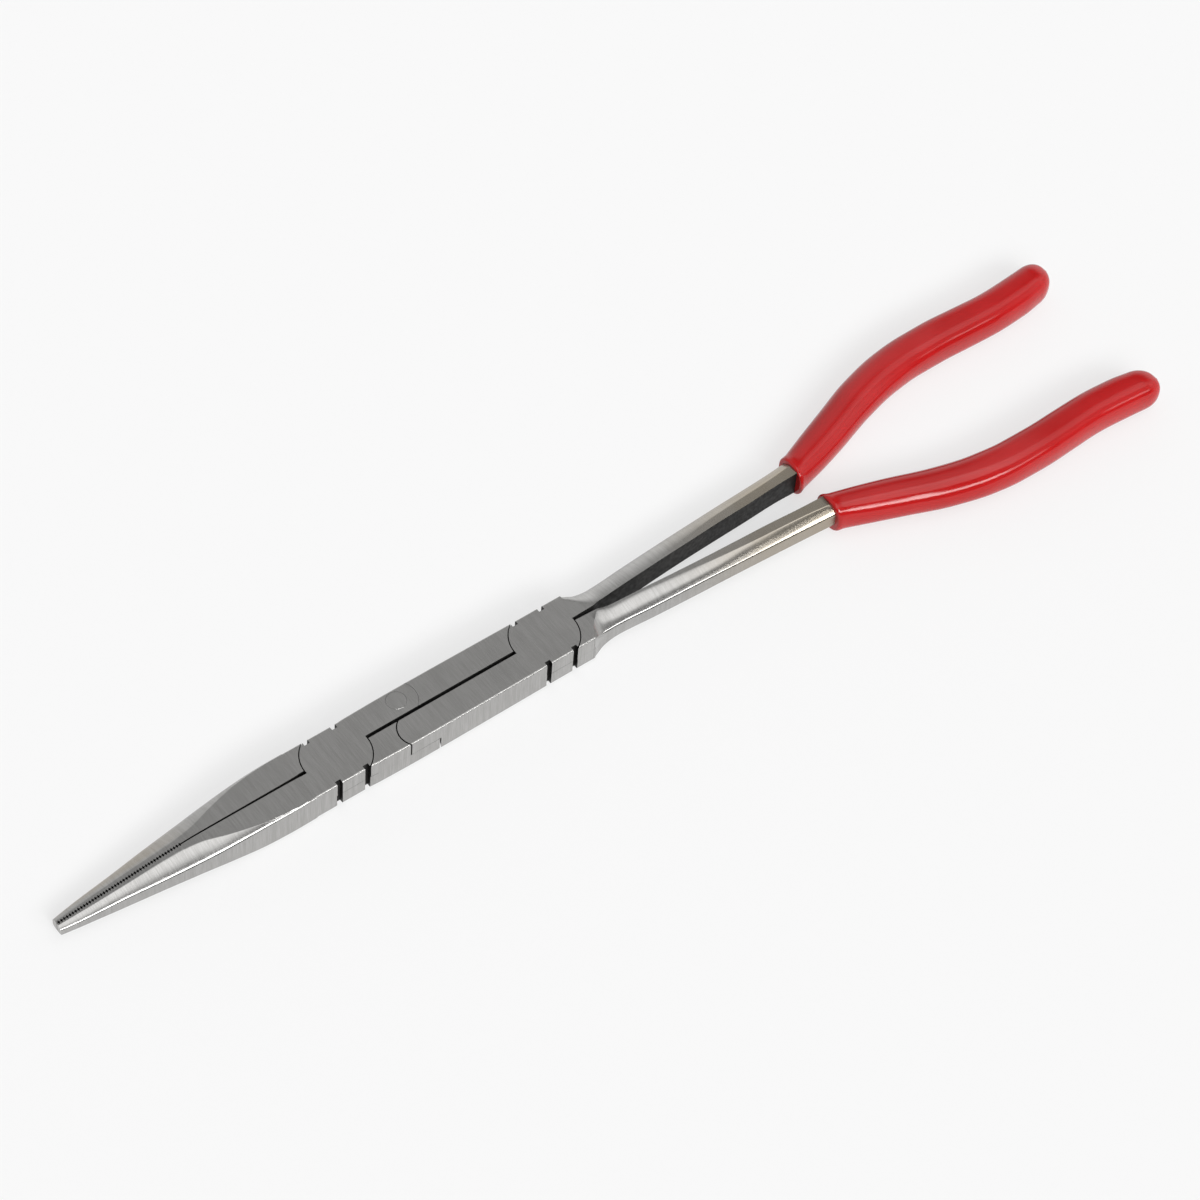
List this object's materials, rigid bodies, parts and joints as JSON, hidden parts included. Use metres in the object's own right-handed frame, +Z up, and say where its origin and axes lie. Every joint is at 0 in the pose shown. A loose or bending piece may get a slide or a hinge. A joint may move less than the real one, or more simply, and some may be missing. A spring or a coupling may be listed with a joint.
{
  "type": "long-reach needle-nose pliers",
  "caption": "Slim long-reach needle-nose pliers with compound lever joints: toothed jaws driven through lap-jointed link pins by long handles in dipped vinyl grips.",
  "frame": {"origin": "centre of the footprint's box, on the plane that the closed pliers lie on", "axes": "-X towards the jaws' tip, +X towards the grips' ends, +Y towards the right handle, +Z up along every joint axis"},
  "size_m": [0.3378, 0.0562, 0.0106],
  "materials": {
    "ground_steel": "satin ground, fine grain across the length",
    "pin_steel": "satin, ground flush with the forging",
    "red_vinyl": "glossy dipped vinyl"
  },
  "bodies": {
    "left_handle_body": {"left_handle": "ground_steel", "left_grip": "red_vinyl", "rear_pivot_rivet": "pin_steel", "right_link_pin": "pin_steel"},
    "right_handle_body": {"right_handle": "ground_steel", "right_grip": "red_vinyl", "left_link_pin": "pin_steel"},
    "left_jaw_body": {"left_jaw": "ground_steel", "front_pivot_rivet": "pin_steel"},
    "right_jaw_body": {"right_jaw": "ground_steel"}
  },
  "joints": [
    {"name": "handle_pivot", "type": "hinge", "parent": "left_handle_body", "child": "right_handle_body", "pos_m": [-0.0215, 0, 0.0053], "axis": [0, 0, 1], "range_deg": [0, 18]},
    {"name": "right_link", "type": "hinge", "parent": "left_handle_body", "child": "left_jaw_body", "pos_m": [-0.0645, 0.005, 0.0053], "axis": [0, 0, 1], "range_deg": [0, 27.4]},
    {"name": "left_link", "type": "hinge", "parent": "right_handle_body", "child": "right_jaw_body", "pos_m": [-0.0645, -0.005, 0.0053], "axis": [0, 0, 1], "range_deg": [-27.4, 0]}
  ],
  "couplings": [
    {"joint": "right_link", "follows": "handle_pivot", "ratio": 1.518},
    {"joint": "left_link", "follows": "handle_pivot", "ratio": -1.518}
  ]
}
